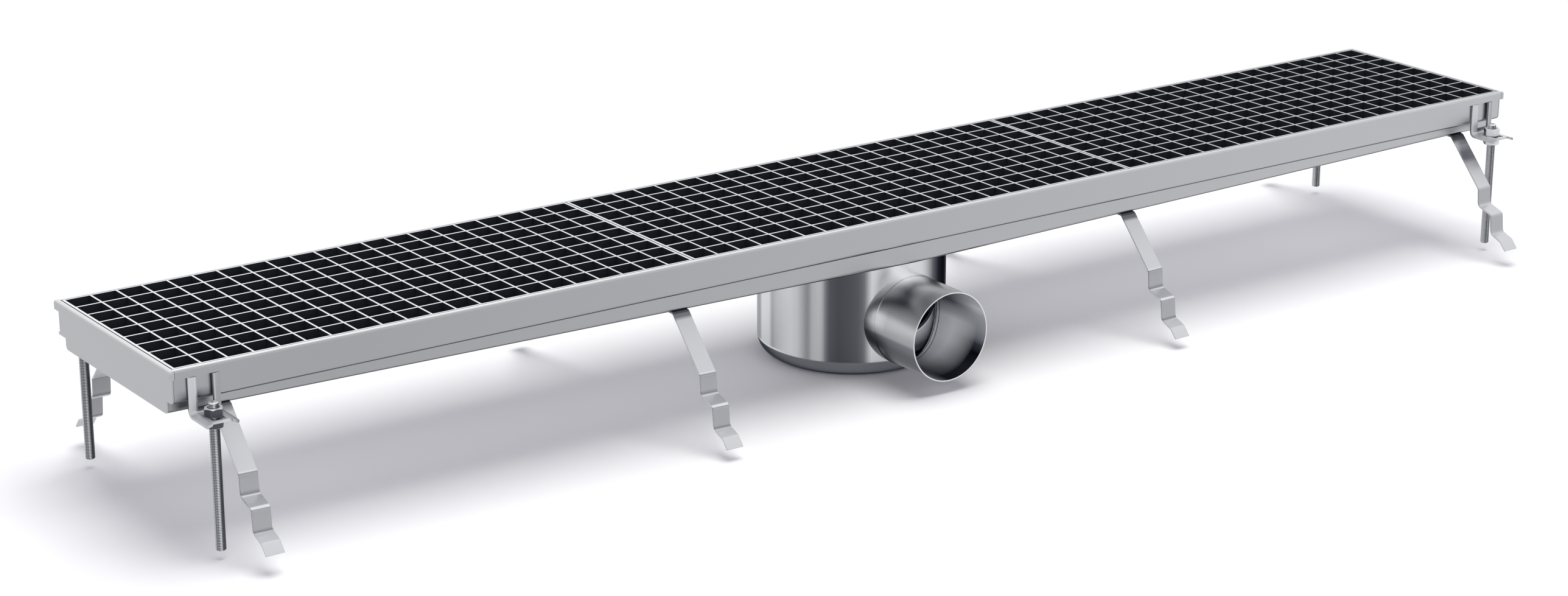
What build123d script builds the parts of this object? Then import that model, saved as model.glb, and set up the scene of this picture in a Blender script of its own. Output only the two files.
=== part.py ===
from build123d import *
import os

# A stainless steel box channel drain: a folded tray with a turned-down rim and welded end
# plates, lift-out mesh gratings, screw-adjustable legs, bent strip anchors, and an outlet bowl
# with a water trap and a horizontal spigot.
# Millimetres. +X runs along the channel, -Y is the side that the outlet points to, +Z is up.
# The origin lies on the flat foot of the outlet bowl, under the middle of the channel.

# Overall size
channel_length = 1350.0     # over the rim
channel_width = 200.0       # over the rim
rim_height = 145.0          # rim top above the foot of the outlet bowl

# Tray, folded from sheet
sheet = 1.5
rim_overhang = 2.7          # the rim's outer face stands this far out from the wall
rim_drop = 7.0              # height of the turned-down edge
rim_radius = 2.0            # outside radius of the rim's fold
rim_corner_radius = 1.5     # upright corners of the rim
fold_radius = 3.5           # outside radius of the tray's long folds
ledge_width = 10.0          # step in the wall that carries the gratings
end_trough_depth = 10.0     # trough below the ledge at the ends
trough_fall = 0.015         # the trough floor falls to the middle, millimetres per millimetre

# Mesh gratings, flush with the rim
grating_count = 3
grating_height = 25.0
grating_bar = 2.0
grating_end_gap = 0.9
grating_joint_gap = 1.0
grating_side_gap = 0.5
grating_foot_chamfer = 1.6  # keeps the grating's foot clear of the ledge's fold
mesh_pitch = 21.06          # along the channel, between the inner cross bars
mesh_columns = 21
mesh_rows = 9

# Levelling legs
leg_inset = 27.0            # rim end to rod axis, along the channel
leg_reach = 15.3            # wall to rod axis, across the channel
rod_diameter = 8.0
rod_chamfer = 0.8
rod_top_depth = 24.0        # rod top below the rim top
rod_foot_clearance = 7.0    # rod foot above the foot of the bowl
nut_flats = 13.0
nut_height = 6.5
thread_clearance = 0.05     # radial, between rod and nut

# Leg brackets, folded from sheet with a flared band along both edges
bracket_sheet = 2.0
bracket_width = 25.4        # over the flares
bracket_fold_width = 16.0   # between the fold lines of the flares
flare_drop = 1.4
flare_land = 1.0            # flat weld land along the flare's edge
deck_depth = 34.5           # upper face of the deck below the rim top
bracket_bend = 3.5          # radius of the bend at the middle of the sheet
bracket_rim_gap = 0.3       # leg top to the lower edge of the rim
window_width = 13.0         # opening between the two legs of the bracket
deck_back = 5.2             # wall to the deck's back edge inside that opening
slot_width = 11.0
slot_corner = 1.2
slot_back = 9.5             # wall to the back end of the slot
slot_front = 25.6           # wall to the front end of the slot
deck_front = 27.5           # wall to the front edge of the deck
flare_front = 30.0          # wall to the tips of the flares

# Strip anchors, welded under the trough
anchor_width = 15.0
anchor_sheet = 1.5
anchor_bend = 4.0           # radius at the upper side of the strip
anchor_pad = 16.0           # welded stretch under the trough
anchor_outer_inset = 45.5   # rim end to the outer anchors
anchor_inner_place = 231.0  # middle of the channel to the inner anchors
anchor_arm_out = 38.5
anchor_arm_drop = 42.0
anchor_upper_out = 1.1
anchor_upper_drop = 15.3
anchor_step_out = 16.1
anchor_step_drop = 5.2
anchor_lower_out = 1.8
anchor_lower_drop = 17.4
anchor_toe_out = 11.6
anchor_toe_drop = 4.5
anchor_lip_out = 6.6
anchor_lip_drop = 7.4

# Outlet bowl and spigot
bowl_diameter = 160.0
bowl_sheet = 1.5
bowl_edge_radius = 16.0
pipe_diameter = 76.1
pipe_wall = 1.0
pipe_axis_height = 48.6
pipe_reach = 137.2          # middle of the channel to the mouth of the spigot
pipe_push_length = 53.0     # straight end that enters a socket
pipe_shoulder = 0.5         # radial; the root is this much thicker, as a stop for the socket

# Water trap that stands in the bowl: cup, dip tube with flange, lip seal and lift handle
trap_sheet = 1.0
cup_clearance = 4.5         # radial, cup to bowl
cup_headroom = 9.4          # cup's edge below the trough's underside
cup_edge_chamfer = 14.0
cup_window_width = 84.0
cup_window_height = 52.0
cup_window_rise = 11.4      # middle of the window above the spigot's axis
dip_tube_ring = 29.0        # width of the water ring between dip tube and cup, over the sheets
dip_tube_foot = 12.0        # above the foot of the bowl
flange_clearance = 1.5      # radial, flange to bowl
seal_width = 6.0
seal_height = 4.0
seal_clearance = 0.2        # radial, seal to bowl
handle_sheet = 1.5
handle_width = 8.0
handle_inset = 7.0          # dip tube to the middle of the handle's feet
handle_rise = 18.0
handle_bend = 6.0           # outside radius

# Places worked out from the sizes above
half_length = channel_length / 2
half_width = channel_width / 2
wall_out = half_width - rim_overhang
wall_in = wall_out - sheet
plate_out = half_length - rim_overhang
plate_in = plate_out - sheet
lip_foot = rim_height - rim_drop
ledge_under = rim_height - grating_height - sheet
lower_out = wall_out - ledge_width
end_floor = ledge_under - end_trough_depth
middle_floor = end_floor - trough_fall * plate_in
seams = grating_count - 1
grating_length = (2 * plate_in - 2 * grating_end_gap - seams * grating_joint_gap) / grating_count
grating_width = 2 * (wall_in - grating_side_gap)
leg_x = half_length - leg_inset
leg_y = wall_out + leg_reach
deck_top = rim_height - deck_depth
deck_foot = deck_top - bracket_sheet
rod_length = rim_height - rod_top_depth - rod_foot_clearance
anchor_outer_x = half_length - anchor_outer_inset
bowl_radius = bowl_diameter / 2
bowl_bore = bowl_radius - bowl_sheet
pipe_radius = pipe_diameter / 2
pipe_bore = pipe_radius - pipe_wall
pipe_root = pipe_reach - pipe_push_length
cup_radius = bowl_bore - cup_clearance
cup_top = middle_floor - cup_headroom
cup_window_centre = pipe_axis_height + cup_window_rise
flange_top = cup_top + trap_sheet
dip_radius = cup_radius - dip_tube_ring
handle_reach = dip_radius + handle_inset

SIDES = {"front": -1, "back": 1}
ENDS = {"left": -1, "right": 1}

os.makedirs("parts", exist_ok=True)


def save(piece, name):
    """Label a finished piece and write it to its own file."""
    piece.part.label = name
    export_step(piece.part, "parts/" + name + ".step")


def trough_floor(x):
    """Height of the tray's underside at a place along the channel."""
    return middle_floor + trough_fall * abs(x)


def trough_outline(upper, lower, ledge, floor, top, convex, concave):
    """The stepped section of the tray as a closed outline."""
    run = FilletPolyline(
        (-upper, top),
        (-upper, ledge),
        (-lower, ledge),
        (-lower, floor),
        (lower, floor),
        (lower, ledge),
        (upper, ledge),
        (upper, top),
        radius=[convex, concave, convex, convex, concave, convex],
    )
    Line(run @ 1, run @ 0)


# The outside of the tray as a full block: its sections differ only in the depth of the trough
with BuildPart() as tray_outside:
    for x in (-plate_in, 0, plate_in):
        with BuildSketch(Plane.YZ.offset(x)):
            with BuildLine():
                trough_outline(
                    wall_out,
                    lower_out,
                    ledge_under,
                    trough_floor(x),
                    rim_height,
                    fold_radius,
                    fold_radius - sheet,
                )
            make_face()
    loft(ruled=True)

# The space inside the tray, one sheet smaller all round, a little longer than the tray
with BuildPart() as tray_inside:
    for x in (-plate_out, 0, plate_out):
        with BuildSketch(Plane.YZ.offset(x)):
            with BuildLine():
                trough_outline(
                    wall_in,
                    lower_out - sheet,
                    ledge_under + sheet,
                    trough_floor(x) + sheet,
                    rim_height + sheet,
                    fold_radius - sheet,
                    fold_radius,
                )
            make_face()
    loft(ruled=True)

# Tray: one folded sheet with the rim turned out and down along both sides, and the outlet hole
with BuildPart() as channel_tray:
    add(tray_outside.part)
    with BuildSketch(Plane.YZ.offset(-plate_in)) as rim_section:
        with BuildLine():
            Polyline(
                (wall_in, rim_height),
                (half_width, rim_height),
                (half_width, lip_foot),
                (half_width - sheet, lip_foot),
                (half_width - sheet, rim_height - sheet),
                (wall_in, rim_height - sheet),
                close=True,
            )
        make_face()
        outer_corner = rim_section.vertices().group_by(Axis.Y)[-1].sort_by(Axis.X)[-1]
        fillet(outer_corner, rim_radius)
        mirror(about=Plane.YZ)
    extrude(amount=2 * plate_in)
    add(tray_inside.part, mode=Mode.SUBTRACT)
    with BuildSketch(Plane.XY.offset(middle_floor - sheet)):
        Circle(bowl_bore)
    extrude(amount=2 * end_trough_depth, mode=Mode.SUBTRACT)
save(channel_tray, "channel_tray")

# End plate: the tray's outline, with a folded rim that closes both corners
with BuildPart() as right_plate:
    with BuildSketch(Plane.XY.offset(lip_foot)):
        with Locations(((plate_in + half_length) / 2, 0)):
            Rectangle(half_length - plate_in, channel_width)
    extrude(amount=rim_drop)
    end_face = right_plate.faces().sort_by(Axis.X)[-1]
    fillet(end_face.edges().filter_by(Axis.Z), rim_corner_radius)
    top_edges = right_plate.faces().sort_by(Axis.Z)[-1].edges().sort_by(Axis.X)[1:]
    fillet(top_edges, rim_radius)
    with BuildSketch(Plane.XY.offset(lip_foot)):
        with Locations(((plate_in + half_length - sheet) / 2, 0)):
            Rectangle(half_length - sheet - plate_in, channel_width - 2 * sheet)
    extrude(amount=rim_drop - sheet, mode=Mode.SUBTRACT)
    with BuildSketch(Plane.YZ.offset(plate_in)):
        with BuildLine():
            trough_outline(
                wall_out,
                lower_out,
                ledge_under,
                trough_floor(plate_in),
                rim_height - sheet,
                fold_radius,
                fold_radius - sheet,
            )
        make_face()
    extrude(amount=sheet)

with BuildPart() as left_plate:
    mirror(right_plate.part, about=Plane.YZ)

save(left_plate, "end_plate_left")
save(right_plate, "end_plate_right")

# Gratings: crossed bars welded to one mesh, standing on the ledges
hole_width = (grating_width - grating_bar) / mesh_rows - grating_bar
inner_span = (mesh_columns - 2) * mesh_pitch
end_hole_length = (grating_length - inner_span) / 2 - 1.5 * grating_bar
end_hole_x = (grating_length - end_hole_length) / 2 - grating_bar
for number in range(grating_count):
    place = (number - seams / 2) * (grating_length + grating_joint_gap)
    with BuildPart() as grating:
        with BuildSketch(Plane.XY.offset(rim_height - grating_height)):
            with Locations((place, 0)):
                Rectangle(grating_length, grating_width)
        extrude(amount=grating_height)
        foot_edges = grating.faces().sort_by(Axis.Z)[0].edges().filter_by(Axis.X)
        chamfer(foot_edges, grating_foot_chamfer)
        with BuildSketch(Plane.XY.offset(rim_height - grating_height)):
            with Locations((place, 0)):
                with GridLocations(mesh_pitch, hole_width + grating_bar, mesh_columns - 2, mesh_rows):
                    Rectangle(mesh_pitch - grating_bar, hole_width)
                with GridLocations(2 * end_hole_x, hole_width + grating_bar, 2, mesh_rows):
                    Rectangle(end_hole_length, hole_width)
        extrude(amount=grating_height, mode=Mode.SUBTRACT)
    save(grating, "grating_" + str(number + 1))

# Leg bracket: a strip with flared edges, folded once into an upright part and a deck. The
# upright part is opened between its two legs, and the deck has a slot for the rod.
bracket_face = wall_out + flare_drop + bracket_sheet / 2
half_bracket = bracket_width / 2
half_fold = bracket_fold_width / 2
leg_top = lip_foot - bracket_rim_gap
with BuildPart() as bracket:
    with BuildLine(Plane.YZ.offset(leg_x)) as bracket_path:
        FilletPolyline(
            (bracket_face, leg_top),
            (bracket_face, deck_top - bracket_sheet / 2),
            (wall_out + flare_front, deck_top - bracket_sheet / 2),
            radius=bracket_bend,
        )
    with BuildSketch(Plane.XY.offset(leg_top)):
        with BuildLine():
            Polyline(
                (leg_x - half_fold, wall_out + flare_drop),
                (leg_x + half_fold, wall_out + flare_drop),
                (leg_x + half_bracket - flare_land, wall_out),
                (leg_x + half_bracket, wall_out),
                (leg_x + half_bracket, wall_out + bracket_sheet),
                (leg_x + half_fold, wall_out + flare_drop + bracket_sheet),
                (leg_x - half_fold, wall_out + flare_drop + bracket_sheet),
                (leg_x - half_bracket, wall_out + bracket_sheet),
                (leg_x - half_bracket, wall_out),
                (leg_x - half_bracket + flare_land, wall_out),
                close=True,
            )
        make_face()
    sweep(path=bracket_path.wires()[0])
    with BuildSketch(Plane.XY.offset(deck_foot - bracket_sheet)):
        with Locations((leg_x, wall_out + deck_back / 2)):
            Rectangle(window_width, deck_back)
    extrude(amount=deck_depth + bracket_sheet, mode=Mode.SUBTRACT)
    with BuildSketch(Plane.XY.offset(deck_foot - bracket_sheet)):
        with Locations((leg_x, wall_out + (slot_back + slot_front) / 2)):
            RectangleRounded(slot_width, slot_front - slot_back, slot_corner)
        with Locations((leg_x, wall_out + (deck_front + flare_front) / 2)):
            Rectangle(bracket_fold_width, flare_front - deck_front)
    extrude(amount=3 * bracket_sheet, mode=Mode.SUBTRACT)

# Threaded rod, and the nuts above and below the bracket's deck
with BuildPart() as rod:
    with BuildSketch(Plane.XY.offset(rod_foot_clearance)):
        with Locations((leg_x, leg_y)):
            Circle(rod_diameter / 2)
    extrude(amount=rod_length)
    chamfer(rod.edges().filter_by(GeomType.CIRCLE), rod_chamfer)

with BuildPart() as upper_nut:
    with BuildSketch(Plane.XY.offset(deck_top)):
        with Locations((leg_x, leg_y)):
            RegularPolygon(nut_flats / 2, 6, major_radius=False)
            Circle(rod_diameter / 2 + thread_clearance, mode=Mode.SUBTRACT)
    extrude(amount=nut_height)

with BuildPart() as lower_nut:
    with BuildSketch(Plane.XY.offset(deck_foot)):
        with Locations((leg_x, leg_y)):
            RegularPolygon(nut_flats / 2, 6, major_radius=False)
            Circle(rod_diameter / 2 + thread_clearance, mode=Mode.SUBTRACT)
    extrude(amount=-nut_height)

# The four legs are alike: mirrored copies of the one at the back on the right
for side, sy in SIDES.items():
    for end, ex in ENDS.items():
        for name, piece in (
            ("bracket", bracket),
            ("threaded_rod", rod),
            ("upper_nut", upper_nut),
            ("lower_nut", lower_nut),
        ):
            with BuildPart() as copy:
                add(piece.part)
                if sy < 0:
                    mirror(about=Plane.XZ, mode=Mode.REPLACE)
                if ex < 0:
                    mirror(about=Plane.YZ, mode=Mode.REPLACE)
            save(copy, name + "_" + side + "_" + end)

# Strip anchors: a flat pad welded under the trough, an arm, and a stepped foot cast into concrete
anchor_places = {
    "left": -anchor_outer_x,
    "mid_left": -anchor_inner_place,
    "mid_right": anchor_inner_place,
    "right": anchor_outer_x,
}
anchor_steps = (
    (anchor_arm_out, anchor_arm_drop),
    (anchor_upper_out, anchor_upper_drop),
    (anchor_step_out, anchor_step_drop),
    (anchor_lower_out, anchor_lower_drop),
    (anchor_toe_out, anchor_toe_drop),
    (anchor_lip_out, anchor_lip_drop),
)
for where, x in anchor_places.items():
    inner_edge = abs(x) - anchor_width / 2
    outer_edge = abs(x) + anchor_width / 2
    points = [(lower_out - anchor_pad, trough_floor(outer_edge)), (lower_out, trough_floor(outer_edge))]
    for out, drop in anchor_steps:
        points.append((points[-1][0] + out, points[-1][1] - drop))
    with BuildPart() as back_anchor:
        with BuildSketch(Plane.YZ.offset(x - anchor_width / 2)):
            with BuildLine():
                FilletPolyline(*points, radius=anchor_bend)
                offset(amount=anchor_sheet, side=Side.RIGHT)
            make_face()
        extrude(amount=anchor_width)
        add(tray_outside.part, mode=Mode.SUBTRACT)
    with BuildPart() as front_anchor:
        mirror(back_anchor.part, about=Plane.XZ)
    save(back_anchor, "anchor_back_" + where)
    save(front_anchor, "anchor_front_" + where)

# The outside of the bowl as a full body
with BuildPart() as bowl_body:
    with BuildSketch():
        Circle(bowl_radius)
    extrude(amount=end_floor)
    fillet(bowl_body.faces().sort_by(Axis.Z)[0].edges(), bowl_edge_radius)

# The space inside the bowl
with BuildPart() as bowl_space:
    with BuildSketch(Plane.XY.offset(bowl_sheet)):
        Circle(bowl_bore)
    extrude(amount=end_floor)
    fillet(bowl_space.faces().sort_by(Axis.Z)[0].edges(), bowl_edge_radius - bowl_sheet)

# Outlet bowl: pressed from sheet, open under the outlet hole, with a round opening to the front
with BuildPart() as outlet_bowl:
    add(bowl_body.part)
    add(bowl_space.part, mode=Mode.SUBTRACT)
    add(tray_outside.part, mode=Mode.SUBTRACT)
    with BuildSketch(Plane.XZ):
        with Locations((0, pipe_axis_height)):
            Circle(pipe_bore)
    extrude(amount=pipe_reach, mode=Mode.SUBTRACT)
save(outlet_bowl, "outlet_bowl")

# Outlet spigot: a short pipe cut to the bowl's outside, a little thicker at its root
with BuildPart() as outlet_pipe:
    with BuildSketch(Plane.XZ):
        with Locations((0, pipe_axis_height)):
            Circle(pipe_radius)
    extrude(amount=pipe_reach)
    with BuildSketch(Plane.XZ):
        with Locations((0, pipe_axis_height)):
            Circle(pipe_radius + pipe_shoulder)
    extrude(amount=pipe_root)
    with BuildSketch(Plane.XZ):
        with Locations((0, pipe_axis_height)):
            Circle(pipe_bore)
    extrude(amount=pipe_reach, mode=Mode.SUBTRACT)
    add(bowl_body.part, mode=Mode.SUBTRACT)
save(outlet_pipe, "outlet_pipe")

# Trap cup: stands on the bowl's floor, with an oval window towards the spigot
with BuildPart() as trap_cup:
    with BuildSketch(Plane.XY.offset(bowl_sheet)):
        Circle(cup_radius)
    extrude(amount=cup_top - bowl_sheet)
    chamfer(trap_cup.faces().sort_by(Axis.Z)[0].edges(), cup_edge_chamfer)
    offset(amount=-trap_sheet, openings=trap_cup.faces().sort_by(Axis.Z)[-1])
    with BuildSketch(Plane.XZ):
        with Locations((0, cup_window_centre)):
            Ellipse(cup_window_width / 2, cup_window_height / 2)
    extrude(amount=bowl_radius, mode=Mode.SUBTRACT)
save(trap_cup, "trap_cup")

# Dip tube: hangs in the cup from a flange that lies on the cup's edge
with BuildPart() as trap_dip_tube:
    with BuildSketch(Plane.XY.offset(cup_top)):
        Circle(bowl_bore - flange_clearance)
    extrude(amount=trap_sheet)
    with BuildSketch(Plane.XY.offset(dip_tube_foot)):
        Circle(dip_radius)
    extrude(amount=cup_top - dip_tube_foot)
    with BuildSketch(Plane.XY.offset(dip_tube_foot)):
        Circle(dip_radius - trap_sheet)
    extrude(amount=flange_top - dip_tube_foot, mode=Mode.SUBTRACT)
save(trap_dip_tube, "trap_dip_tube")

# Lip seal: a rubber ring on the flange, close to the bowl's wall
with BuildPart() as trap_seal:
    with BuildSketch(Plane.XY.offset(flange_top)):
        Circle(bowl_bore - seal_clearance)
        Circle(bowl_bore - seal_clearance - seal_width, mode=Mode.SUBTRACT)
    extrude(amount=seal_height)
save(trap_seal, "trap_seal")

# Lift handle: a strip bent into a bail and welded to the flange
with BuildPart() as trap_handle:
    with BuildSketch(Plane.XZ.offset(-handle_width / 2)):
        with BuildLine():
            FilletPolyline(
                (-handle_reach, flange_top),
                (-handle_reach, flange_top + handle_rise),
                (handle_reach, flange_top + handle_rise),
                (handle_reach, flange_top),
                radius=handle_bend,
            )
            offset(amount=handle_sheet, side=Side.RIGHT)
        make_face()
    extrude(amount=handle_width)
save(trap_handle, "trap_handle")
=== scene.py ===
import math

import bpy
import numpy as np
from mathutils import Matrix, Vector


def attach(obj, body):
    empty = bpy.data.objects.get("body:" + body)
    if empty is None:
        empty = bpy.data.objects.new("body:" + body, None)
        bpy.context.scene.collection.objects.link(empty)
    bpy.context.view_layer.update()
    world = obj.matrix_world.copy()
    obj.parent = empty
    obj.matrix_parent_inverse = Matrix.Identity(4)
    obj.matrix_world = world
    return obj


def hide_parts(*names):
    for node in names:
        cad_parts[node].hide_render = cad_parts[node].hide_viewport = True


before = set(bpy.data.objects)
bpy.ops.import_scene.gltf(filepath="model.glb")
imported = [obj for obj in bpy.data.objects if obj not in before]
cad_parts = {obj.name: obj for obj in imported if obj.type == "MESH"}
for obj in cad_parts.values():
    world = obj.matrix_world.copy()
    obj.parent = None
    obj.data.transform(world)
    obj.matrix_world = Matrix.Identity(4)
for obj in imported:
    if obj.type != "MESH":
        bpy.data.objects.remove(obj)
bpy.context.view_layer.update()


# Tray: one long sheet folded into a stepped trough, with its rim turned out and down along both
# sides. The sheet is cold rolled and pickled, satin and slightly blue; inside, under the gratings,
# it is painted dark as shade.
END = 0.675
RIM_TOP = 0.145
WALL_INSIDE = 0.0958
LEDGE_TOP = 0.120
TROUGH_INSIDE = 0.0858
TROUGH_FLOOR = 0.09994
TROUGH_FALL = 0.015
SHEET = 0.0015
MASK_SLACK = 0.0003
# Painted reflection: the wall's tones along its length get lighter towards the right end.
WALL_TONES = ((-END, 178), (-0.56, 175), (-0.25, 182), (0.5, 197), (END, 197))
# Painted highlight along the rim's top edge, brightest at the left end.
RIM_TONES = ((-END, 246), (0.0, 224), (END, 205))
# Painted shade: dark lines along the fold under the ledge and along the trough's foot.
LEDGE_REACH = 0.089
LEDGE_LINE = 58
FOOT_REACH = 0.083
FOOT_LINE = 78
# Painted shade low on the front of the trough, at the collar.
COLLAR_X = 0.052
COLLAR_GAP = 24
# Painted dark reflection of the front left leg on the front wall, just above the ledge.
LEG_SHADE_X = -0.653
LEG_SHADE = 92
# Painted shade: the sheet inside the trough and the seat, under the gratings, is dark.
DARK_INSIDE = "#30343a"


def srgb(code):
    """Linear colour with alpha from a six-figure hex code in sRGB."""
    parts = [int(code[i : i + 2], 16) / 255 for i in (1, 3, 5)]
    return tuple(p / 12.92 if p <= 0.04045 else ((p + 0.055) / 1.055) ** 2.4 for p in parts) + (1.0,)


def node(tree, kind, settings=None, links=None):
    """A shader node with its settings, and with its sockets set to values or linked to outputs."""
    made = tree.nodes.new(kind)
    for key, value in (settings or {}).items():
        setattr(made, key, value)
    for key, value in (links or {}).items():
        if isinstance(value, bpy.types.NodeSocket):
            tree.links.new(value, made.inputs[key])
        else:
            made.inputs[key].default_value = value
    return made


def math_node(tree, operation, first, second=0.0, third=0.0):
    """The output of a maths node."""
    values = {0: first, 1: second, 2: third}
    return node(tree, "ShaderNodeMath", {"operation": operation}, values).outputs[0]


def times(tree, first, *others):
    """The product of values."""
    for other in others:
        first = math_node(tree, "MULTIPLY", first, other)
    return first


def less(tree, value, limit):
    """1 where a value lies under a limit, else 0."""
    return math_node(tree, "LESS_THAN", value, limit)


def more(tree, value, limit):
    """1 where a value lies over a limit, else 0."""
    return math_node(tree, "GREATER_THAN", value, limit)


def ramp(tree, value, stops):
    """The colour of a ramp through stops of (place, hex colour), for a value from 0 to 1."""
    made = node(tree, "ShaderNodeValToRGB", links={0: value})
    elements = made.color_ramp.elements
    elements[0].position = stops[0][0]
    elements[0].color = srgb(stops[0][1])
    elements[1].position = stops[-1][0]
    elements[1].color = srgb(stops[-1][1])
    for place, code in stops[1:-1]:
        elements.new(place).color = srgb(code)
    return made.outputs["Color"]


def spread(tree, value, low, high):
    """A value rescaled so that low becomes 0 and high becomes 1, and clamped."""
    settings = {"clamp": True}
    links = {"Value": value, "From Min": low, "From Max": high}
    return node(tree, "ShaderNodeMapRange", settings, links).outputs["Result"]


def steel(level):
    """Hex code of bare steel at a grey level, with a trace of blue that grows as it gets darker."""
    blue = 3 if level > 150 else 8
    return "#%02x%02x%02x" % (level, min(level + blue // 3, 255), min(level + blue, 255))


def steel_ramp(tree, value, stops):
    """Steel at the grey levels of stops of (value, level), blended in between."""
    low, high = stops[0][0], stops[-1][0]
    places = [((at - low) / (high - low), steel(level)) for at, level in stops]
    return ramp(tree, spread(tree, value, low, high), places)


def band(tree, value, middle, half, soft):
    """1 within half of the middle value, falling to 0 over the soft width beyond."""
    off = math_node(tree, "ABSOLUTE", math_node(tree, "SUBTRACT", value, middle))
    return spread(tree, off, half + soft, half)


def start_material(name, metallic, roughness):
    """A new material with its tree, its main shader, and the object coordinates split in three."""
    made = bpy.data.materials.new(name)
    made.use_nodes = True
    tree = made.node_tree
    tree.nodes.clear()
    shader = node(tree, "ShaderNodeBsdfPrincipled", links={"Metallic": metallic, "Roughness": roughness})
    node(tree, "ShaderNodeOutputMaterial", links={"Surface": shader.outputs["BSDF"]})
    place = node(tree, "ShaderNodeTexCoord").outputs["Object"]
    axes = node(tree, "ShaderNodeSeparateXYZ", links={0: place}).outputs
    return made, tree, shader, axes


def tint(tree, factor, under, over):
    """The mix of two colours, under at factor 0 and over at factor 1."""
    mixed = node(tree, "ShaderNodeMix", {"data_type": "RGBA"}, {"Factor": factor, "A": under, "B": over})
    return mixed.outputs["Result"]


def darken_inside(tree, shader, colour, inside):
    """The colour goes to the shader, painted dark as shade and without metal where inside is 1."""
    tree.links.new(tint(tree, inside, colour, srgb(DARK_INSIDE)), shader.inputs["Base Color"])
    tree.links.new(math_node(tree, "SUBTRACT", 1.0, inside), shader.inputs["Metallic"])


def trough_foot(tree, axes):
    """Height of the trough's underside: foot = floor - sheet + fall * |x|."""
    along = math_node(tree, "ABSOLUTE", axes["X"])
    return math_node(tree, "MULTIPLY_ADD", along, TROUGH_FALL, TROUGH_FLOOR - SHEET)


def paint(name, material):
    """A carried CAD node gets a material."""
    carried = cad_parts[name]
    carried.data.materials.clear()
    carried.data.materials.append(material)
    return carried


sheet_steel, tree, shader, axes = start_material("pickled stainless sheet", 1.0, 0.3)
side_place = math_node(tree, "ABSOLUTE", axes["Y"])
above_floor = math_node(tree, "SUBTRACT", axes["Z"], trough_foot(tree, axes))
# Inside the trough and the seat, under the gratings, the sheet is painted dark as shade.
in_trough = less(tree, side_place, TROUGH_INSIDE + MASK_SLACK)
in_trough = times(tree, in_trough, more(tree, above_floor, 0.0012))
in_seat = less(tree, side_place, WALL_INSIDE + MASK_SLACK)
in_seat = times(tree, in_seat, more(tree, axes["Z"], LEDGE_TOP - MASK_SLACK))
inside = math_node(tree, "MAXIMUM", in_trough, in_seat)
inside = times(tree, inside, less(tree, axes["Z"], RIM_TOP - 0.0004))
# Painted highlight along the top edge of the rim.
rim_light = spread(tree, axes["Z"], RIM_TOP - 0.0005, RIM_TOP - 0.00005)
# Painted shade lines along the fold under the ledge and along the trough's foot.
ledge_line = band(tree, axes["Z"], LEDGE_TOP - SHEET + 0.0006, 0.0008, 0.0006)
ledge_line = times(tree, ledge_line, more(tree, side_place, LEDGE_REACH))
foot_line = spread(tree, above_floor, 0.002, 0.0013)
foot_line = times(tree, foot_line, more(tree, side_place, FOOT_REACH))
front = less(tree, axes["Y"], -FOOT_REACH)
# Painted shade low on the front of the trough, at the collar.
gap = spread(tree, above_floor, 0.0024, 0.0016)
gap = times(tree, gap, band(tree, axes["X"], COLLAR_X, 0.012, 0.022), front)
# Painted dark reflection of the front left leg on the front wall, just above the ledge.
shade = spread(tree, axes["Z"], 0.1285, 0.1205)
shade = times(tree, shade, band(tree, axes["X"], LEG_SHADE_X, 0.009, 0.009), front, 0.75)
# Painted reflection along the wall, lighter towards the right end.
colour = steel_ramp(tree, axes["X"], WALL_TONES)
colour = tint(tree, rim_light, colour, steel_ramp(tree, axes["X"], RIM_TONES))
colour = tint(tree, ledge_line, colour, srgb(steel(LEDGE_LINE)))
colour = tint(tree, foot_line, colour, srgb(steel(FOOT_LINE)))
colour = tint(tree, gap, colour, srgb(steel(COLLAR_GAP)))
colour = tint(tree, shade, colour, srgb(steel(LEG_SHADE)))
darken_inside(tree, shader, colour, inside)
paint("channel_tray", sheet_steel)

# End plates: flat sheets welded across both ends, with their own folded rim. Their outsides are
# plain pickled sheet, their folded rims carry a painted highlight, and inside they are painted dark
# as shade.
PLATE_INSIDE = 0.6711
PLATE_TONE = 192
PLATE_RIM = 226
end_steel, tree, shader, axes = start_material("pickled stainless end sheet", 1.0, 0.3)
# Painted shade inside; painted highlight on the folded rim.
inside = less(tree, math_node(tree, "ABSOLUTE", axes["X"]), PLATE_INSIDE)
inside = times(tree, inside, less(tree, axes["Z"], RIM_TOP - 0.0004))
rim_light = spread(tree, axes["Z"], RIM_TOP - 0.0006, RIM_TOP - 0.00005)
colour = tint(tree, rim_light, srgb(steel(PLATE_TONE)), srgb(steel(PLATE_RIM)))
darken_inside(tree, shader, colour, inside)
for name in ("end_plate_left", "end_plate_right"):
    paint(name, end_steel)

# Gratings: flat bars on edge, crossed and welded into square cells. A narrow band along the middle
# of each top, and the tops of the end bars, carry a painted highlight, lighter towards the left end;
# the rest of the bars, down the cells too, is painted dark as shade.
GRATING_PLACE = 0.44707
GRATING_END_BAR = 0.2205
CROSS_PITCH = 0.02106
LONG_PITCH = 0.020956
LINE_HALF = 0.0006
LINE_SOFT = 0.00025
TOP_TONES = ((-END, 246), (-0.1, 226), (END, 178))
CELL_DEPTH = 0.014
CELL_STOPS = ((0.0, "#34383e"), (10 / 14, "#2a2d33"), (1.0, "#202328"))
grating_steel, tree, shader, axes = start_material("stainless mesh bars with painted highlight and shade", 1.0, 0.3)
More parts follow.
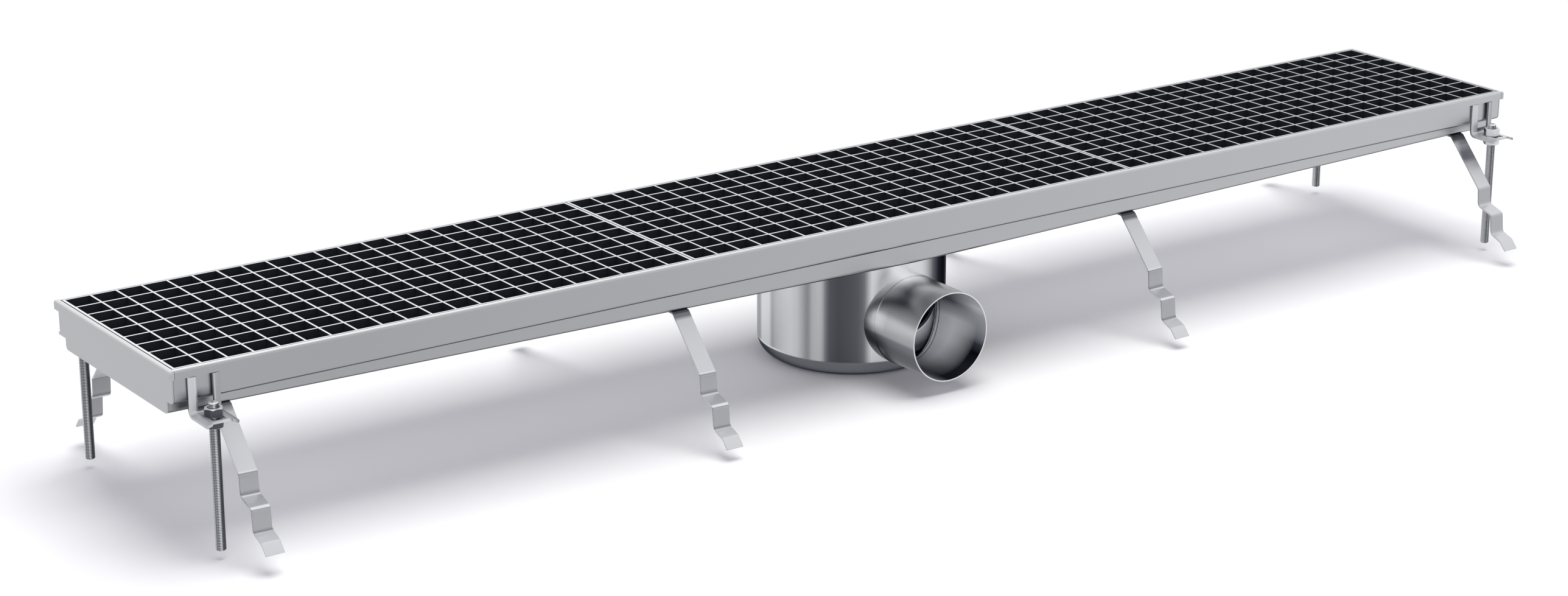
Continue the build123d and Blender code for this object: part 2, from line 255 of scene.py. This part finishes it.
# Painted highlight on a narrow band along the middle of each top and on the end bars, painted shade on the
# rest.
number = math_node(tree, "ROUND", math_node(tree, "DIVIDE", axes["X"], GRATING_PLACE))
within = math_node(tree, "SUBTRACT", axes["X"], times(tree, number, GRATING_PLACE))
ground = more(tree, math_node(tree, "ABSOLUTE", within), GRATING_END_BAR)
for place, pitch in ((within, CROSS_PITCH), (axes["Y"], LONG_PITCH)):
    from_hole = math_node(tree, "PINGPONG", place, pitch / 2)
    line = spread(tree, from_hole, pitch / 2 - LINE_HALF - LINE_SOFT, pitch / 2 - LINE_HALF)
    ground = math_node(tree, "MAXIMUM", ground, line)
top = times(tree, spread(tree, axes["Z"], RIM_TOP - 0.0002, RIM_TOP - 0.00005), ground)
dark = ramp(tree, spread(tree, axes["Z"], RIM_TOP - CELL_DEPTH, RIM_TOP), CELL_STOPS)
tops = steel_ramp(tree, axes["X"], TOP_TONES)
tree.links.new(tint(tree, top, dark, tops), shader.inputs["Base Color"])
tree.links.new(top, shader.inputs["Metallic"])
for number in (1, 2, 3):
    paint("grating_" + str(number), grating_steel)

# Leg brackets: thick strips folded once, with a flared band along both edges, a window between
# the two upright legs and a slot in the deck. The window ends just above the bend, where a web
# joins the two legs. Painted highlights and shade run across the uprights and the deck, light or
# dark by the way each band faces; a painted dark line runs at the wall beside each bracket, darker
# at the left end, and the web is painted dark as shade.
LEG_X = 0.648
LEG_Y = 0.1126
LEGS = {"front_left": (-1, -1), "front_right": (1, -1), "back_left": (-1, 1), "back_right": (1, 1)}
DECK_TOP = 0.1105
DECK_FOOT = 0.1085
WINDOW_HALF = 0.0065
BEND_PLACE = 0.1032
BEND_HEIGHT = 0.1130
BEND_INNER = 0.0025
BEND_OUTER = 0.0045
WEB_TOP = 0.1142
WEB_TONE = 96
STRIP_EDGE = 0.0126
# Painted highlights and shade across the uprights, then across the deck, by the way each band faces.
UPRIGHT_TONES = (
    (-0.0127, 200),
    (-0.0124, 200),
    (-0.0123, 204),
    (-0.0084, 200),
    (-0.0078, 222),
    (-0.0074, 190),
    (-0.0066, 176),
    (0.0064, 120),
    (0.0076, 204),
    (0.0083, 166),
    (0.0127, 160),
)
DECK_TONES = ((-0.0127, 186), (-0.004, 196), (0.006, 214), (0.0127, 118))
EDGE_TONE_LEFT = 70
EDGE_TONE_RIGHT = 110


def from_leg(tree, axes):
    """Places along and across the channel, measured from the axis of the leg's rod."""
    made = []
    for axis, reach in (("X", LEG_X), ("Y", LEG_Y)):
        centre = times(tree, math_node(tree, "SIGN", axes[axis]), reach)
        made.append(math_node(tree, "SUBTRACT", axes[axis], centre))
    return made


def grid_faces(rows, columns):
    """Quads of a grid of rows by columns, whose columns close into a ring."""
    faces = []
    for row in range(rows - 1):
        for column in range(columns):
            beside = (column + 1) % columns
            low, high = row * columns, (row + 1) * columns
            faces.append((low + column, low + beside, high + beside, high + column))
    return faces


def add_mesh(name, points, faces, material, body, replaced, sharp=32.0):
    """A smooth mesh piece with sharp edges over an angle, riding on a body in place of CAD nodes."""
    data = bpy.data.meshes.new(name)
    data.from_pydata([tuple(p) for p in points], [], faces)
    data.update()
    data.shade_smooth()
    data.set_sharp_from_angle(angle=math.radians(sharp))
    data.materials.append(material)
    made = bpy.data.objects.new(name, data)
    bpy.context.scene.collection.objects.link(made)
    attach(made, body)
    if replaced:
        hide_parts(*replaced)
    return made


def web_points(x, side):
    """Two closed rings of the bend: place = centre + radius * (cos, sin)(angle), then an upright end."""
    turn = np.radians(np.linspace(180, 255, 9))
    outer = [(BEND_PLACE + BEND_OUTER * math.cos(a), BEND_HEIGHT + BEND_OUTER * math.sin(a)) for a in turn]
    inner = [(BEND_PLACE + BEND_INNER * math.cos(a), BEND_HEIGHT + BEND_INNER * math.sin(a)) for a in turn]
    ring = [(BEND_PLACE - BEND_OUTER, WEB_TOP)] + outer + inner[::-1] + [(BEND_PLACE - BEND_INNER, WEB_TOP)]
    points = []
    for across in (-WINDOW_HALF * side, WINDOW_HALF * side):
        points += [(x + across, side * y, z) for y, z in ring]
    return points, len(ring)


bracket_steel, tree, shader, axes = start_material("pickled stainless strip", 0.5, 0.25)
along, out = from_leg(tree, axes)
uprights = steel_ramp(tree, along, UPRIGHT_TONES)
# Painted dark line at the wall beside each bracket, on the side towards the left end, darker at the left
# end; the web is painted dark as shade.
cut = spread(tree, math_node(tree, "ABSOLUTE", axes["Y"]), 0.0989, 0.0984)
cut = times(tree, cut, less(tree, along, -STRIP_EDGE))
at_right = more(tree, axes["X"], 0.0)
edge_tone = tint(tree, at_right, srgb(steel(EDGE_TONE_LEFT)), srgb(steel(EDGE_TONE_RIGHT)))
uprights = tint(tree, cut, uprights, edge_tone)
web = less(tree, math_node(tree, "ABSOLUTE", along), WINDOW_HALF - 0.0001)
uprights = tint(tree, web, uprights, srgb(steel(WEB_TONE)))
deck = steel_ramp(tree, along, DECK_TONES)
level = spread(tree, axes["Z"], DECK_TOP + 0.0004, DECK_TOP + 0.003)
tree.links.new(tint(tree, level, deck, uprights), shader.inputs["Base Color"])
for leg, (end, side) in LEGS.items():
    paint("bracket_" + leg, bracket_steel)
    points, around = web_points(end * LEG_X, side)
    faces = [tuple(reversed(face)) for face in grid_faces(2, around)]
    faces.append(tuple(range(around)))
    faces.append(tuple(reversed(range(around, 2 * around))))
    add_mesh("bend_web_" + leg, points, faces, bracket_steel, "channel", None)

# Threaded rods: turned thread of 8 mm with a 1.25 mm pitch over the whole length, both ends
# chamfered. Painted reflections run down them in light and dark streaks, set differently at the
# left and right ends; the grooves are painted dark as shade, and the top end carries a painted
# highlight.
ROD_RADIUS = 0.004
ROD_FOOT = 0.007
ROD_TOP = 0.121
THREAD_PITCH = 0.00125
THREAD_DEPTH = 0.00068
ROD_CHAMFER = 0.0008
ROD_AROUND = 24
ROWS_PER_TURN = 6
LEFT_STREAKS = (
    (-0.004, 130),
    (-0.0034, 205),
    (-0.0027, 215),
    (-0.0021, 110),
    (-0.0014, 190),
    (-0.0002, 170),
    (0.0006, 236),
    (0.0014, 245),
    (0.0021, 165),
    (0.0028, 100),
    (0.004, 60),
)
RIGHT_STREAKS = (
    (-0.004, 165),
    (-0.0034, 205),
    (-0.001, 200),
    (-0.0002, 170),
    (0.0006, 110),
    (0.0014, 225),
    (0.0022, 80),
    (0.003, 190),
    (0.004, 50),
)
GROOVE_DARK = "#1e2125"
LEFT_GROOVE = 0.6
RIGHT_GROOVE = 0.68
ROD_END = 222
SIDE_ALONG = 0.817
SIDE_OUT = 0.577


def thread_points(x, y):
    """Points of a threaded rod, ring by ring: radius = crest - depth * wave(z / pitch - angle / turn)."""
    rows = int((ROD_TOP - ROD_FOOT) / THREAD_PITCH * ROWS_PER_TURN) + 1
    angle = np.arange(ROD_AROUND) / ROD_AROUND * 2 * math.pi
    height = np.linspace(ROD_FOOT, ROD_TOP, rows)
    angle, height = np.meshgrid(angle, height)
    phase = (height / THREAD_PITCH - angle / (2 * math.pi)) % 1.0
    wave = np.clip(np.abs(phase - 0.5) * 2.5 - 0.1, 0.0, 1.0)
    end = np.minimum(height - ROD_FOOT, ROD_TOP - height)
    radius = np.minimum(ROD_RADIUS - THREAD_DEPTH * wave, ROD_RADIUS - ROD_CHAMFER + end)
    points = np.stack((x + radius * np.cos(angle), y + radius * np.sin(angle), height), axis=-1)
    return points.reshape(-1, 3), rows


def distance(tree, first, second):
    """Distance from an axis, out of two places across it."""
    flat = node(tree, "ShaderNodeCombineXYZ", links={"X": first, "Y": second}).outputs[0]
    return node(tree, "ShaderNodeVectorMath", {"operation": "LENGTH"}, {0: flat}).outputs["Value"]


def rod_sideways(tree, along, out):
    """Place across the rod, on a level line that is turned 35 degrees from the channel."""
    return math_node(tree, "SUBTRACT", times(tree, along, SIDE_ALONG), times(tree, out, SIDE_OUT))


rod_steel, tree, shader, axes = start_material("turned stainless thread", 0.6, 0.25)
along, out = from_leg(tree, axes)
sideways = rod_sideways(tree, along, out)
# Painted shade in the grooves, painted reflection streaks down the rods and a painted highlight on the top
# end.
groove = spread(tree, distance(tree, along, out), ROD_RADIUS - 0.0001, ROD_RADIUS - 0.0005)
left_groove = times(tree, groove, LEFT_GROOVE)
right_groove = times(tree, groove, spread(tree, sideways, -0.002, 0.0006), RIGHT_GROOVE)
left_colour = tint(tree, left_groove, steel_ramp(tree, sideways, LEFT_STREAKS), srgb(GROOVE_DARK))
right_colour = tint(tree, right_groove, steel_ramp(tree, sideways, RIGHT_STREAKS), srgb(GROOVE_DARK))
colour = tint(tree, more(tree, axes["X"], 0.0), left_colour, right_colour)
end_face = spread(tree, axes["Z"], ROD_TOP - 0.0009, ROD_TOP - 0.0006)
colour = tint(tree, end_face, colour, srgb(steel(ROD_END)))
tree.links.new(colour, shader.inputs["Base Color"])
for leg, (end, side) in LEGS.items():
    points, rows = thread_points(end * LEG_X, side * LEG_Y)
    faces = grid_faces(rows, ROD_AROUND)
    faces.append(tuple(reversed(range(ROD_AROUND))))
    faces.append(tuple((rows - 1) * ROD_AROUND + k for k in range(ROD_AROUND)))
    add_mesh(
        "rod_thread_" + leg,
        points,
        faces,
        rod_steel,
        "rod_" + leg,
        ["threaded_rod_" + leg],
        sharp=60.0,
    )

# Nuts: hexagon nuts of 13 mm across flats with both faces chamfered, one on each side of the deck.
# Their sides carry painted reflections, dark at the left end and light at the right end with a dark
# sliver on one side; their chamfers and faces carry a painted highlight.
NUT_FLATS = 0.013
NUT_HEIGHT = 0.0065
NUT_BORE = 0.00405
NUT_MOUTH = 0.00455
NUT_PITCH = 0.0085
NUT_AROUND = 72
CHAMFER_START = NUT_FLATS / 2 * 0.97
CHAMFER_SLOPE = 1.73
CHAMFER_LEVELS = np.array([0.0, 0.0002, 0.0004, 0.0006, 0.0008, 0.001])
MOUTH_DEPTH = 0.0006
LEFT_SIDES = ((-0.0075, 44), (-0.0016, 48), (-0.0013, 66), (0.0075, 70))
RIGHT_SIDES = ((-0.0075, 50), (-0.0062, 56), (-0.0058, 208), (0.0075, 214))
NUT_TURNED = 205


def nut_points(x, y, foot):
    """Rings of a chamfered hexagon nut: radius = min(hexagon(angle), face radius + 1.73 * depth)."""
    angle = (np.arange(NUT_AROUND) + 0.5) / NUT_AROUND * 2 * math.pi
    corner = (angle % (math.pi / 3)) - math.pi / 6
    hexagon = NUT_FLATS / 2 / np.cos(corner)
    bore = np.full(NUT_AROUND, NUT_BORE)
    mouth = np.full(NUT_AROUND, NUT_MOUTH)
    rings = [(bore, NUT_HEIGHT - MOUTH_DEPTH), (bore, MOUTH_DEPTH), (mouth, 0.0)]
    for height in np.concatenate((CHAMFER_LEVELS, NUT_HEIGHT - CHAMFER_LEVELS[::-1])):
        depth = min(height, NUT_HEIGHT - height)
        rings.append((np.minimum(hexagon, CHAMFER_START + CHAMFER_SLOPE * depth), height))
    rings += [(mouth, NUT_HEIGHT), (bore, NUT_HEIGHT - MOUTH_DEPTH)]
    points = []
    for radius, height in rings:
        level = np.full(NUT_AROUND, foot + height)
        points.append(np.stack((x + radius * np.cos(angle), y + radius * np.sin(angle), level), axis=-1))
    return np.concatenate(points), len(rings)


nut_steel, tree, shader, axes = start_material("stainless nut with painted reflections and highlight", 0.35, 0.3)
along, out = from_leg(tree, axes)
above_foot = math_node(tree, "SUBTRACT", axes["Z"], DECK_FOOT - NUT_HEIGHT)
height = math_node(tree, "MODULO", above_foot, NUT_PITCH)
from_middle = math_node(tree, "ABSOLUTE", math_node(tree, "SUBTRACT", height, NUT_HEIGHT / 2))
depth = math_node(tree, "SUBTRACT", NUT_HEIGHT / 2, from_middle)
cone = math_node(tree, "MULTIPLY_ADD", depth, CHAMFER_SLOPE, CHAMFER_START)
past_cone = math_node(tree, "SUBTRACT", distance(tree, along, out), cone)
# Painted highlight on the chamfers and the faces.
turned = spread(tree, past_cone, -0.0002, -0.00005)
turned = math_node(tree, "MAXIMUM", turned, spread(tree, depth, 0.0001, 0.00002))
sideways = rod_sideways(tree, along, out)
# Painted reflections on the sides: dark at the left end, light at the right end with a dark sliver.
left_end = less(tree, axes["X"], 0.0)
sides = steel_ramp(tree, sideways, RIGHT_SIDES)
sides = tint(tree, left_end, sides, steel_ramp(tree, sideways, LEFT_SIDES))
tree.links.new(tint(tree, turned, sides, srgb(steel(NUT_TURNED))), shader.inputs["Base Color"])
for leg, (end, side) in LEGS.items():
    for which, foot in (("upper", DECK_TOP), ("lower", DECK_FOOT - NUT_HEIGHT)):
        points, rows = nut_points(end * LEG_X, side * LEG_Y, foot)
        add_mesh(
            which + "_hexagon_" + leg,
            points,
            grid_faces(rows, NUT_AROUND),
            nut_steel,
            "nut_" + which + "_" + leg,
            [which + "_nut_" + leg],
        )

# Anchors: strips bent into an arm with a stepped foot, welded under the trough and later cast in.
# Painted highlights and dark lines mark the bends of the arm; painted shade lies on the bend under
# the trough, deeper towards the right end, and on the upper arm at the right end.
# Painted highlights and dark shade lines at the bends of the arm, by the drop below the trough.
ARM = (
    (0.0, 196),
    (0.0398, 198),
    (0.0406, 222),
    (0.0412, 130),
    (0.042, 160),
    (0.045, 168),
    (0.054, 172),
    (0.0566, 120),
    (0.0572, 205),
    (0.0616, 204),
    (0.0628, 226),
    (0.0634, 140),
    (0.0642, 168),
    (0.0776, 172),
    (0.0796, 118),
    (0.0806, 204),
    (0.1, 200),
)
SHADED_ARM = (
    (0.0, 90),
    (0.003, 130),
    (0.008, 176),
    (0.013, 140),
    (0.0185, 132),
    (0.022, 186),
    (0.0404, 200),
    (0.0424, 172),
    (0.0562, 174),
    (0.0576, 204),
    (0.0622, 204),
    (0.0636, 174),
    (0.079, 176),
    (0.0806, 204),
    (0.1, 200),
)
BEND_TONES = ((-END, 165), (-0.5, 165), (-0.3, 120), (END, 92))
BEND_REACH = 0.0925
anchor_steel, tree, shader, axes = start_material("sheared stainless strip", 0.6, 0.25)
# Painted shade on the upper arm at the right end and on the bend under the trough.
drop = math_node(tree, "SUBTRACT", trough_foot(tree, axes), axes["Z"])
across = math_node(tree, "ADD", times(tree, drop, 45.0), spread(tree, axes["X"], 0.622, 0.637))
right_end = times(tree, spread(tree, across, 0.35, 0.75), more(tree, axes["X"], 0.5))
colour = tint(tree, right_end, steel_ramp(tree, drop, ARM), steel_ramp(tree, drop, SHADED_ARM))
bend = spread(tree, math_node(tree, "ABSOLUTE", axes["Y"]), BEND_REACH, BEND_REACH - 0.002)
colour = tint(tree, bend, colour, steel_ramp(tree, axes["X"], BEND_TONES))
tree.links.new(colour, shader.inputs["Base Color"])
for side in ("front", "back"):
    for where in ("left", "mid_left", "mid_right", "right"):
        paint("anchor_" + side + "_" + where, anchor_steel)

# Outlet bowl: a round pot pressed from sheet, with the spigot welded to its front. Painted
# reflections run round it in bright and dark upright bands. The rounded edge at its foot is an even
# grey painted reflection, painted darker right at the foot as shade, with a painted highlight line
# along its top on one side; inside it is pale and dull, not metal.
BAND_TURN = math.radians(54.7)
BOWL_EDGE_TOP = 0.0152
BOWL_BORE = 0.0785
BOWL_INSIDE = 245
BOWL_BANDS = (
    (-180, 150),
    (-88, 205),
    (-74, 200),
    (-71, 238),
    (-60, 234),
    (-57, 184),
    (-53, 206),
    (-46, 226),
    (-40, 236),
    (-35, 226),
    (-32, 200),
    (-28.4, 160),
    (-26.5, 178),
    (-25, 204),
    (-21, 208),
    (-18.8, 200),
    (-16.5, 126),
    (-14, 92),
    (-9, 78),
    (-2, 84),
    (3, 92),
    (6.7, 114),
    (8.6, 166),
    (11, 222),
    (20, 224),
    (33, 236),
    (46, 224),
    (51, 196),
    (57, 118),
    (63, 93),
    (90, 96),
    (180, 150),
)
EDGE_TONES = ((0.0, 66), (0.0016, 96), (0.004, 126), (0.016, 122))
LIGHT_LINE = 252


def turned_place(tree, axes, angle):
    """Angle in degrees around the upright axis, zero towards the front and turned by an angle."""
    cosine, sine = math.cos(angle), math.sin(angle)
    across = math_node(tree, "SUBTRACT", times(tree, axes["X"], sine), times(tree, axes["Y"], cosine))
    towards = math_node(tree, "ADD", times(tree, axes["X"], cosine), times(tree, axes["Y"], sine))
    turn = math_node(tree, "ARCTAN2", across, times(tree, towards, -1.0))
    return times(tree, turn, 180 / math.pi)


bowl_steel, tree, shader, axes = start_material("deep-drawn stainless bowl", 1.0, 0.25)
# Painted reflections in upright bands; on the rounded foot an even grey painted reflection, darker right at
# the foot as shade, and a painted highlight line above it on one side.
band_place = turned_place(tree, axes, BAND_TURN)
colour = steel_ramp(tree, band_place, BOWL_BANDS)
edge = spread(tree, axes["Z"], BOWL_EDGE_TOP, BOWL_EDGE_TOP - 0.0012)
colour = tint(tree, edge, colour, steel_ramp(tree, axes["Z"], EDGE_TONES))
light_line = band(tree, axes["Z"], BOWL_EDGE_TOP + 0.0005, 0.0003, 0.0007)
light_line = times(tree, light_line, band(tree, band_place, -62, 10, 10))
colour = tint(tree, light_line, colour, srgb(steel(LIGHT_LINE)))
inside = less(tree, distance(tree, axes["X"], axes["Y"]), BOWL_BORE + 0.0006)
inside = times(tree, inside, more(tree, axes["Z"], BOWL_EDGE_TOP + 0.001))
colour = tint(tree, inside, colour, srgb(steel(BOWL_INSIDE)))
tree.links.new(math_node(tree, "SUBTRACT", 1.0, inside), shader.inputs["Metallic"])
tree.links.new(colour, shader.inputs["Base Color"])
tree.links.new(colour, shader.inputs["Specular Tint"])
paint("outlet_bowl", bowl_steel)

# Outlet spigot: a short thin pipe, cut to the bowl, with a bright cut edge at its mouth. Painted
# reflections run round its outside in bands, with a light streak along its side, a darker patch, a
# painted highlight at its root and a shoulder ring painted darker as shade; inside, painted light
# and shade make it light half way in and dark at the bottom.
PIPE_AXIS = 0.0486
PIPE_MIDDLE_WALL = 0.03755
PIPE_SHOULDER = -0.0842
MOUTH = -0.1372
SEAM_REACH = 0.0831
CUT_EDGE = 218
SEAM_TONE = 50
OUTSIDE = (
    (-180, 120),
    (-120, 90),
    (-60, 80),
    (-37, 80),
    (-20, 106),
    (-12, 134),
    (-7, 146),
    (-3, 196),
    (4, 202),
    (15, 212),
    (21, 206),
    (32, 192),
    (45, 181),
    (60, 196),
    (72, 232),
    (80, 250),
    (94, 240),
    (110, 170),
    (140, 110),
    (180, 120),
)
PATCH_TONE = 140
ROOT_LIGHT = 250
SHOULDER_DARK = 0.3
INSIDE_ROOT = (
    (-180, 250),
    (-120, 250),
    (-100, 100),
    (-90, 110),
    (-75, 165),
    (-58, 226),
    (-35, 253),
    (-20, 255),
    (-5, 250),
    (4, 200),
    (20, 100),
    (34, 118),
    (60, 120),
    (110, 250),
    (180, 250),
)
INSIDE_MOUTH = (
    (-180, 250),
    (-130, 250),
    (-110, 110),
    (-90, 24),
    (-58, 34),
    (-35, 12),
    (-24, 60),
    (-15, 130),
    (-5, 156),
    (14, 172),
    (26, 205),
    (34, 180),
    (60, 150),
    (110, 250),
    (180, 250),
)


def pipe_turn(tree, rise, sideways):
    """Angle in degrees around the pipe's axis, zero towards a side and positive upwards."""
    return times(tree, math_node(tree, "ARCTAN2", rise, sideways), 180 / math.pi)


pipe_steel, tree, shader, axes = start_material("drawn stainless pipe", 1.0, 0.28)
rise = math_node(tree, "SUBTRACT", axes["Z"], PIPE_AXIS)
left_turn = pipe_turn(tree, rise, times(tree, axes["X"], -1.0))
right_turn = pipe_turn(tree, rise, axes["X"])
# Painted reflections round the outside, a painted darker patch, a painted highlight at the root and a
# shoulder ring painted darker as shade.
outside = steel_ramp(tree, left_turn, OUTSIDE)
patch = times(tree, band(tree, left_turn, 52, 6, 16), band(tree, axes["Y"], -0.107, 0.003, 0.011))
outside = tint(tree, patch, outside, srgb(steel(PATCH_TONE)))
root_light = times(tree, band(tree, left_turn, 16, 7, 14), spread(tree, axes["Y"], -0.099, -0.086))
outside = tint(tree, root_light, outside, srgb(steel(ROOT_LIGHT)))
shoulder = times(tree, band(tree, axes["Y"], PIPE_SHOULDER, 0.0001, 0.0001), SHOULDER_DARK)
outside = tint(tree, shoulder, outside, srgb("#000000"))
# Inside, painted light and shade by the angle round the pipe, changing towards the mouth.
within = steel_ramp(tree, right_turn, INSIDE_ROOT)
near_mouth = spread(tree, axes["Y"], -0.094, -0.126)
within = tint(tree, near_mouth, within, steel_ramp(tree, right_turn, INSIDE_MOUTH))
seam = band(tree, distance(tree, axes["X"], axes["Y"]), SEAM_REACH, 0.0002, 0.0003)
within = tint(tree, seam, within, srgb(steel(SEAM_TONE)))
is_inside = less(tree, distance(tree, axes["X"], rise), PIPE_MIDDLE_WALL)
is_outside = math_node(tree, "SUBTRACT", 1.0, is_inside)
colour = tint(tree, is_inside, outside, within)
colour = tint(tree, less(tree, axes["Y"], MOUTH + 0.0002), colour, srgb(steel(CUT_EDGE)))
tree.links.new(colour, shader.inputs["Base Color"])
tree.links.new(is_outside, shader.inputs["Metallic"])
tree.links.new(times(tree, is_outside, 0.5), shader.inputs["Specular IOR Level"])
paint("outlet_pipe", pipe_steel)

# Water trap: the cup with its oval window shows through the spigot; dip tube, flange, seal and
# handle are hidden under the gratings. The steel is dull, thin and spun; the seal is rubber. The cup
# is painted darker towards its foot as shade, a wider oval round its window is painted dark as the
# opening's shade and ringed by a painted highlight, and everything within the cup's wall is painted
# dark as shade.
CUP_RADIUS = 0.073
CUP_TONES = ((0.01, 60), (0.02, 84), (0.03, 200), (0.036, 228), (0.045, 228))
WINDOW_MIDDLE = 0.060
WINDOW_ACROSS = 0.0475
WINDOW_UP = 0.028
WINDOW_EDGE = 252
WINDOW_DARK = 62
TRAP_INSIDE = 60
trap_steel, tree, shader, axes = start_material("thin spun stainless trap", 0.0, 0.45)
rise = math_node(tree, "DIVIDE", math_node(tree, "SUBTRACT", axes["Z"], WINDOW_MIDDLE), WINDOW_UP)
beside = math_node(tree, "DIVIDE", axes["X"], WINDOW_ACROSS)
from_window = distance(tree, beside, rise)
# Painted shade lower down the cup, a painted dark opening ringed by a painted highlight, and painted shade
# within the cup's wall.
colour = steel_ramp(tree, axes["Z"], CUP_TONES)
colour = tint(tree, less(tree, from_window, 1.045), colour, srgb(steel(WINDOW_EDGE)))
colour = tint(tree, less(tree, from_window, 1.0), colour, srgb(steel(WINDOW_DARK)))
cup_outside = more(tree, distance(tree, axes["X"], axes["Y"]), CUP_RADIUS - 0.0003)
colour = tint(tree, cup_outside, srgb(steel(TRAP_INSIDE)), colour)
tree.links.new(colour, shader.inputs["Base Color"])
for name in ("trap_cup", "trap_dip_tube", "trap_handle"):
    paint(name, trap_steel)
rubber, tree, shader, axes = start_material("moulded black rubber", 0.0, 0.7)
shader.inputs["Base Color"].default_value = srgb("#1c1c1d")
paint("trap_seal", rubber)

# Stage: a pale floor just under the bowl's foot and a white surround. In bright metal the floor
# shows as light grey, with the shade on it half as deep; far from the channel it is plain white.
FLOOR_HALF = 9.0
FLOOR_HEIGHT = -0.0003
FLOOR_GLOW = 0.72
GLOW_SHARE = 0.65
SQUEEZE = (1.0, 1.7, 0.0)
WHITE_FROM = 0.85
WHITE_FULL = 1.3
SKY_STRENGTH = 1.65
SKY_FULL_BELOW = 0.5
SKY_NONE_ABOVE = 0.62
floor_data = bpy.data.meshes.new("floor")
corners = [(x * FLOOR_HALF, y * FLOOR_HALF, FLOOR_HEIGHT) for x, y in ((-1, -1), (1, -1), (1, 1), (-1, 1))]
floor_data.from_pydata(corners, [], [(0, 1, 2, 3)])
floor = bpy.data.objects.new("floor", floor_data)
bpy.context.scene.collection.objects.link(floor)
pale = bpy.data.materials.new("pale matt floor")
pale.use_nodes = True
tree = pale.node_tree
tree.nodes.clear()
ray = node(tree, "ShaderNodeLightPath").outputs
matt = node(tree, "ShaderNodeBsdfDiffuse", links={"Color": srgb("#fdfdfd")})
glow = node(tree, "ShaderNodeEmission", links={"Color": srgb("#ffffff"), "Strength": FLOOR_GLOW})
share = times(tree, ray["Is Glossy Ray"], GLOW_SHARE)
mixed = node(tree, "ShaderNodeMixShader", links={0: share, 1: matt.outputs[0], 2: glow.outputs[0]})
place = node(tree, "ShaderNodeTexCoord").outputs["Object"]
squeezed = node(tree, "ShaderNodeVectorMath", {"operation": "MULTIPLY"}, {0: place, 1: SQUEEZE}).outputs[0]
far = node(tree, "ShaderNodeVectorMath", {"operation": "LENGTH"}, {0: squeezed}).outputs["Value"]
far = times(tree, spread(tree, far, WHITE_FROM, WHITE_FULL), ray["Is Camera Ray"])
white = node(tree, "ShaderNodeEmission", links={"Color": srgb("#ffffff"), "Strength": 1.0})
mixed = node(tree, "ShaderNodeMixShader", links={0: far, 1: mixed.outputs[0], 2: white.outputs[0]})
node(tree, "ShaderNodeOutputMaterial", links={"Surface": mixed.outputs[0]})
floor_data.materials.append(pale)

world = bpy.data.worlds.new("surround")
world.use_nodes = True
tree = world.node_tree
ray = node(tree, "ShaderNodeLightPath").outputs
seen = math_node(tree, "MAXIMUM", ray["Is Camera Ray"], ray["Is Glossy Ray"])
seen = math_node(tree, "MAXIMUM", seen, ray["Is Transmission Ray"])
way = node(tree, "ShaderNodeTexCoord").outputs["Generated"]
height = node(tree, "ShaderNodeSeparateXYZ", links={0: way}).outputs["Z"]
limits = {"From Min": SKY_FULL_BELOW, "From Max": SKY_NONE_ABOVE, "To Min": SKY_STRENGTH, "To Max": 0.0}
lighting = node(tree, "ShaderNodeMapRange", links={"Value": height, **limits}).outputs["Result"]
strength = node(tree, "ShaderNodeMix", links={"Factor": seen, "A": lighting, "B": 1.0})
background = tree.nodes["Background"]
tree.links.new(tint(tree, seen, srgb("#f7f6ff"), srgb("#ffffff")), background.inputs["Color"])
tree.links.new(strength.outputs["Result"], background.inputs["Strength"])
bpy.context.scene.world = world

# Light: one broad soft lamp high above the channel. It isn't seen in the metal.
LAMP_SIDE = 3.8
LAMP_POWER = 205.0
LAMP_PLACE = (0.4, -0.1, 5.0)
LAMP_TARGET = (0.0, 0.0, 0.1)
lamp_data = bpy.data.lights.new("soft light", "AREA")
lamp_data.shape = "RECTANGLE"
lamp_data.size = LAMP_SIDE
lamp_data.size_y = LAMP_SIDE
lamp_data.energy = LAMP_POWER
lamp = bpy.data.objects.new("soft light", lamp_data)
lamp.location = LAMP_PLACE
lamp.rotation_euler = (Vector(LAMP_TARGET) - lamp.location).to_track_quat("-Z", "Y").to_euler()
lamp.visible_glossy = False
bpy.context.scene.collection.objects.link(lamp)

# Camera: where the photo was taken from, a long lens a little above the channel.
camera_data = bpy.data.cameras.new("photo camera")
camera_data.sensor_fit = "HORIZONTAL"
camera_data.sensor_width = 36.0
camera_data.lens = 78.996
camera_data.clip_end = 50.0
camera = bpy.data.objects.new("photo camera", camera_data)
right = Vector((0.81700, -0.57663, 0.00114))
up = Vector((0.18062, 0.25778, 0.94917))
back = Vector((-0.54762, -0.77527, 0.31475))
turn = Matrix((right, up, back)).transposed()
camera.matrix_world = Matrix.Translation((-1.6463, -2.2318, 0.9644)) @ turn.to_4x4()
bpy.context.scene.collection.objects.link(camera)
bpy.context.scene.camera = camera
bpy.context.scene.view_settings.view_transform = "Standard"
